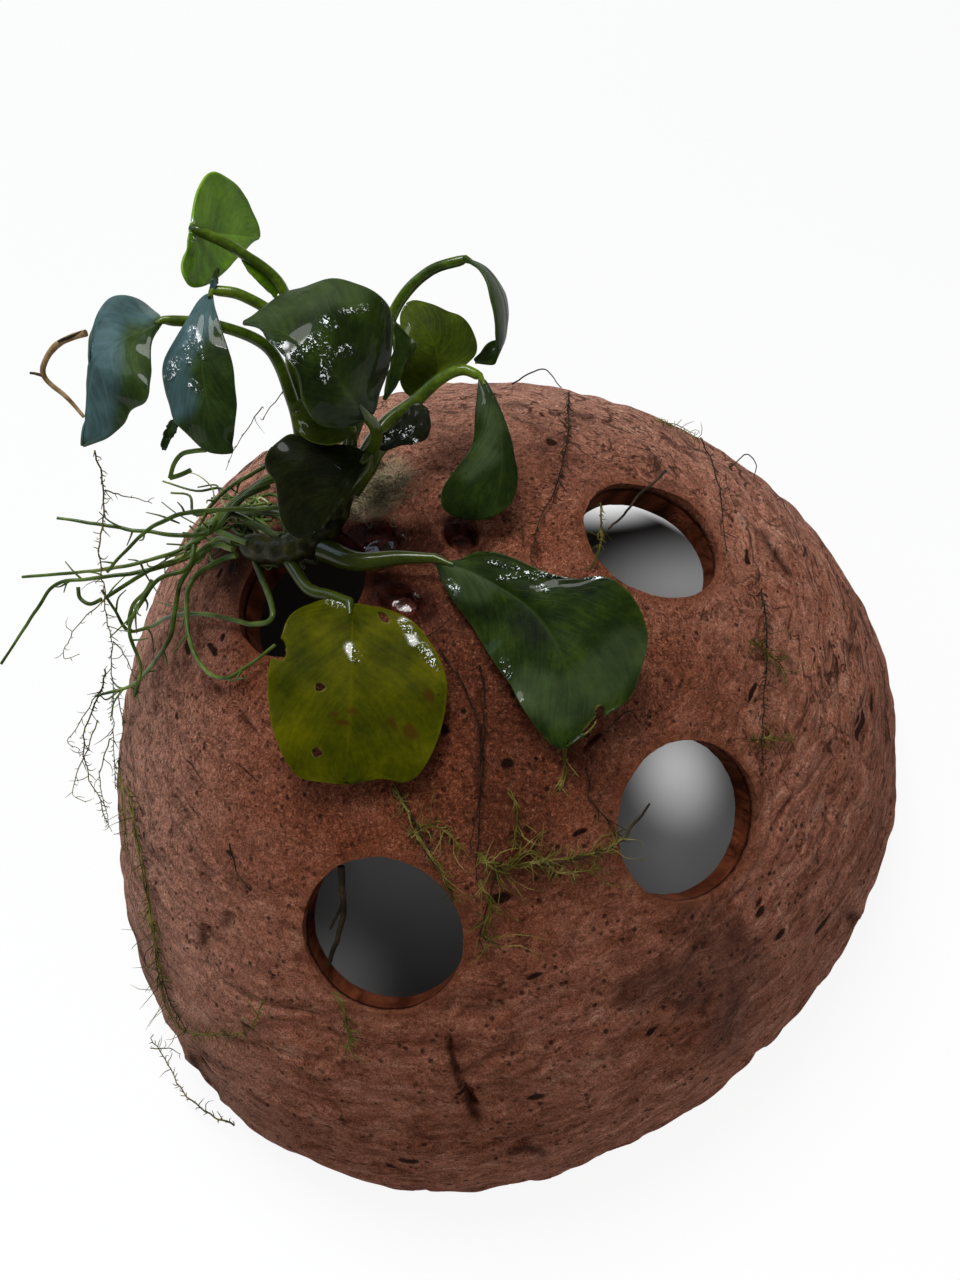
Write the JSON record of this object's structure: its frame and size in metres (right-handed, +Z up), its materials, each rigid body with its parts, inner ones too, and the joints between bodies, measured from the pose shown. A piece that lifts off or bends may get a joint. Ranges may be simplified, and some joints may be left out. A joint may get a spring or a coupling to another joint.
{
  "type": "aquarium plant on a coconut shell",
  "caption": "Small anubias rooted in a drilled half coconut shell that stands dome up on its sawn rim, with limp green roots and wisps of moss.",
  "frame": {"origin": "on the surface it rests on, under the middle of the bounding box", "axes": "+Z up out of the dome; -Z out of the sawn rim; -Y towards the viewer; +X to the viewer's right"},
  "size_m": [0.1238, 0.1214, 0.0884],
  "materials": {
    "shell": "matte, porous",
    "stem": "satin",
    "leaf_dark": "wet gloss",
    "leaf_blue_green": "wet gloss",
    "leaf_bright": "gloss",
    "leaf_yellow_green": "wet gloss",
    "root": "satin",
    "moss": "matte"
  },
  "bodies": {
    "root": {"coconut_shell": "shell", "creeping_stem": "stem", "leaf_back_bright": "leaf_bright", "leaf_far_left": "leaf_blue_green", "leaf_left": "leaf_blue_green", "leaf_centre": "leaf_dark", "leaf_behind_right": "leaf_bright", "leaf_arching": "leaf_dark", "leaf_over_eye": "leaf_dark", "leaf_small_round": "leaf_bright", "leaf_shaded": "leaf_dark", "leaf_small_dark": "leaf_dark", "leaf_right": "leaf_dark", "leaf_yellow": "leaf_yellow_green", "root_long_upper": "root", "root_longest": "root", "root_upper_left": "root", "root_top": "root", "root_low": "root", "root_loop": "root", "root_lower_left": "root", "root_hanging": "root", "root_dark": "root", "dead_twig": "moss", "moss_hanging": "moss", "moss_tuft": "moss", "moss_at_rim": "moss"}
  },
  "joints": []
}
